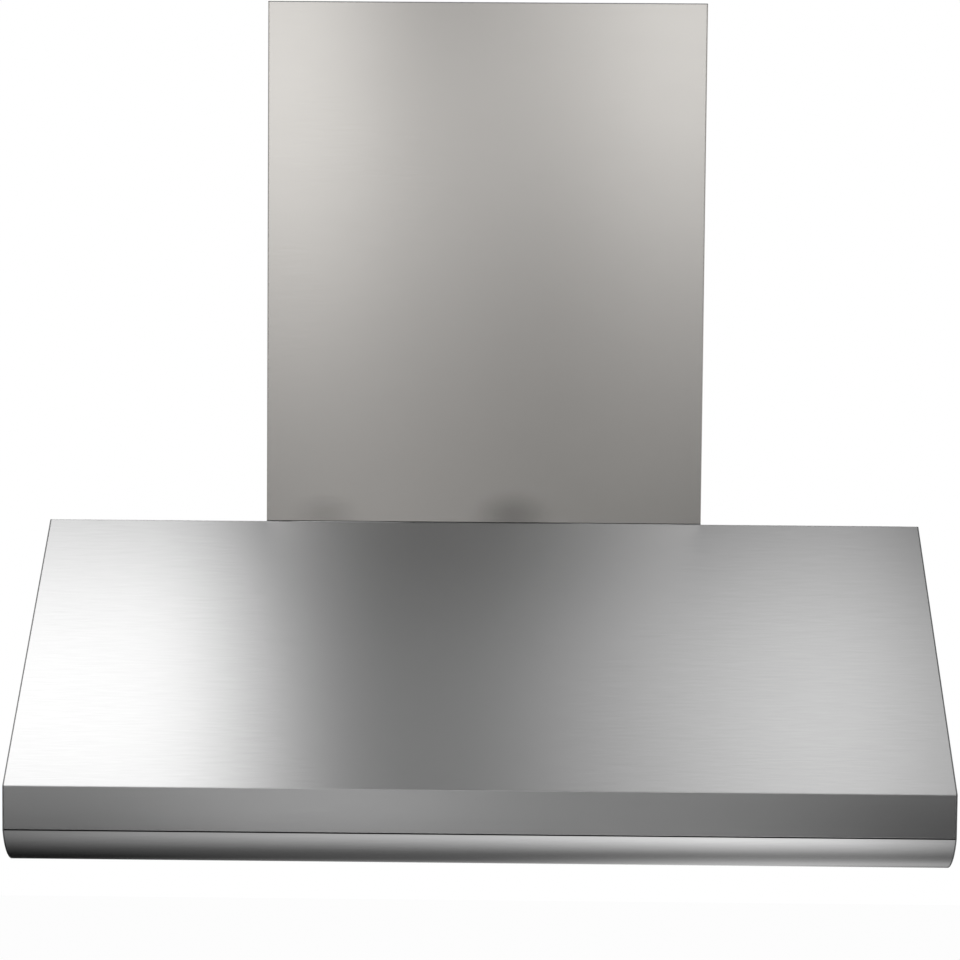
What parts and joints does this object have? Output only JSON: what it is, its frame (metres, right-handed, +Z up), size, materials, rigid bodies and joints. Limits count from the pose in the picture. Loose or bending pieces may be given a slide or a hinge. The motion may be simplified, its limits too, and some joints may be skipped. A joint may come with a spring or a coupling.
{
  "type": "chimney range hood",
  "caption": "Wall-hung stainless steel range hood with a sloped canopy front, a vertical fascia, a rounded nose and a plain rectangular flue cover; baffle filters and a twin blower inside.",
  "frame": {"origin": "on the wall face of the back panel, midway between the ends of the two hanging slots", "axes": "+X to the right as seen from the front, +Y into the wall, +Z up; the front faces -Y"},
  "size_m": [1.219, 0.61, 1.1633],
  "materials": {
    "brushed_stainless": "horizontal brushed grain, satin",
    "flue_stainless": "horizontal brushed grain, satin, slightly warmer",
    "filter_stainless": "bright mill finish",
    "knob_metal": "satin metal",
    "galvanised_steel": "dull zinc-coated sheet",
    "damper_aluminium": "plain sheet",
    "black_plastic": "matt moulded",
    "motor_paint": "dark satin paint",
    "lens_glass": "frosted",
    "cable_sheath": "grey sheath"
  },
  "bodies": {
    "hood": {"front_panel": "brushed_stainless", "nose_rail": "brushed_stainless", "side_panel_left": "brushed_stainless", "side_panel_right": "brushed_stainless", "back_panel": "galvanised_steel", "hanger_plate_left": "galvanised_steel", "hanger_plate_right": "galvanised_steel", "top_panel": "brushed_stainless", "light_panel": "brushed_stainless", "rear_filter_rail": "brushed_stainless", "front_filter_rail": "brushed_stainless", "lamp_housing_1": "brushed_stainless", "lamp_lens_1": "lens_glass", "lamp_housing_2": "brushed_stainless", "lamp_lens_2": "lens_glass", "lamp_housing_3": "brushed_stainless", "lamp_lens_3": "lens_glass", "lamp_housing_4": "brushed_stainless", "lamp_lens_4": "lens_glass", "fan_switch": "black_plastic", "light_switch": "black_plastic", "control_box": "galvanised_steel", "scroll_housing_left": "galvanised_steel", "scroll_housing_right": "galvanised_steel", "blower_motor": "motor_paint", "motor_cradle": "galvanised_steel", "motor_capacitor": "damper_aluminium", "discharge_plenum": "galvanised_steel", "duct_collar": "galvanised_steel", "damper_pin": "galvanised_steel", "flue_cover": "flue_stainless", "flue_bracket": "galvanised_steel", "flue_clip_left": "galvanised_steel", "flue_clip_right": "galvanised_steel", "junction_box": "galvanised_steel", "junction_cover": "galvanised_steel", "cable_bushing": "black_plastic", "motor_cable": "cable_sheath", "control_cable": "cable_sheath"},
    "blower_rotor": {"blower_shaft": "galvanised_steel", "blower_wheel_left": "galvanised_steel", "blower_wheel_right": "galvanised_steel"},
    "damper_front": {"damper_flap_front": "damper_aluminium"},
    "damper_rear": {"damper_flap_rear": "damper_aluminium"},
    "fan_control": {"fan_knob": "knob_metal", "fan_knob_shaft": "galvanised_steel"},
    "light_control": {"light_knob": "knob_metal", "light_knob_shaft": "galvanised_steel"},
    "filter_1": {"baffle_filter_1": "filter_stainless"},
    "handle_1": {"filter_handle_1": "knob_metal"},
    "filter_2": {"baffle_filter_2": "filter_stainless"},
    "handle_2": {"filter_handle_2": "knob_metal"},
    "filter_3": {"baffle_filter_3": "filter_stainless"},
    "handle_3": {"filter_handle_3": "knob_metal"},
    "filter_4": {"baffle_filter_4": "filter_stainless"},
    "handle_4": {"filter_handle_4": "knob_metal"},
    "tray": {"grease_tray": "brushed_stainless"}
  },
  "joints": [
    {"name": "blower_spin", "type": "hinge", "parent": "hood", "child": "blower_rotor", "pos_m": [0, -0.15, -0.10493], "axis": [1, 0, 0], "continuous": true},
    {"name": "damper_front_swing", "type": "hinge", "parent": "hood", "child": "damper_front", "pos_m": [0, -0.1525, 0.057], "axis": [-1, 0, 0], "range_deg": [0, 78]},
    {"name": "damper_rear_swing", "type": "hinge", "parent": "hood", "child": "damper_rear", "pos_m": [0, -0.1525, 0.057], "axis": [1, 0, 0], "range_deg": [0, 78]},
    {"name": "fan_knob_turn", "type": "hinge", "parent": "hood", "child": "fan_control", "pos_m": [-0.042, -0.47165, -0.38], "axis": [0, 0, 1], "range_deg": [0, 180]},
    {"name": "light_knob_turn", "type": "hinge", "parent": "hood", "child": "light_control", "pos_m": [0.042, -0.47165, -0.38], "axis": [0, 0, 1], "range_deg": [0, 270]},
    {"name": "filter_1_lift", "type": "slide", "parent": "hood", "child": "filter_1", "axis": [0, -0.891, 0.454], "range_m": [0, 0.014]},
    {"name": "handle_1_swing", "type": "hinge", "parent": "filter_1", "child": "handle_1", "pos_m": [-0.45503, -0.08725, -0.29789], "axis": [1, 0, 0], "range_deg": [-114, 60]},
    {"name": "filter_2_lift", "type": "slide", "parent": "hood", "child": "filter_2", "axis": [0, -0.891, 0.454], "range_m": [0, 0.014]},
    {"name": "handle_2_swing", "type": "hinge", "parent": "filter_2", "child": "handle_2", "pos_m": [-0.15168, -0.08725, -0.29789], "axis": [1, 0, 0], "range_deg": [-114, 60]},
    {"name": "filter_3_lift", "type": "slide", "parent": "hood", "child": "filter_3", "axis": [0, -0.891, 0.454], "range_m": [0, 0.014]},
    {"name": "handle_3_swing", "type": "hinge", "parent": "filter_3", "child": "handle_3", "pos_m": [0.15168, -0.08725, -0.29789], "axis": [1, 0, 0], "range_deg": [-114, 60]},
    {"name": "filter_4_lift", "type": "slide", "parent": "hood", "child": "filter_4", "axis": [0, -0.891, 0.454], "range_m": [0, 0.014]},
    {"name": "handle_4_swing", "type": "hinge", "parent": "filter_4", "child": "handle_4", "pos_m": [0.45503, -0.08725, -0.29789], "axis": [1, 0, 0], "range_deg": [-114, 60]},
    {"name": "grease_tray_lift", "type": "slide", "parent": "hood", "child": "tray", "axis": [0, 0, 1], "range_m": [0, 0.012]}
  ]
}
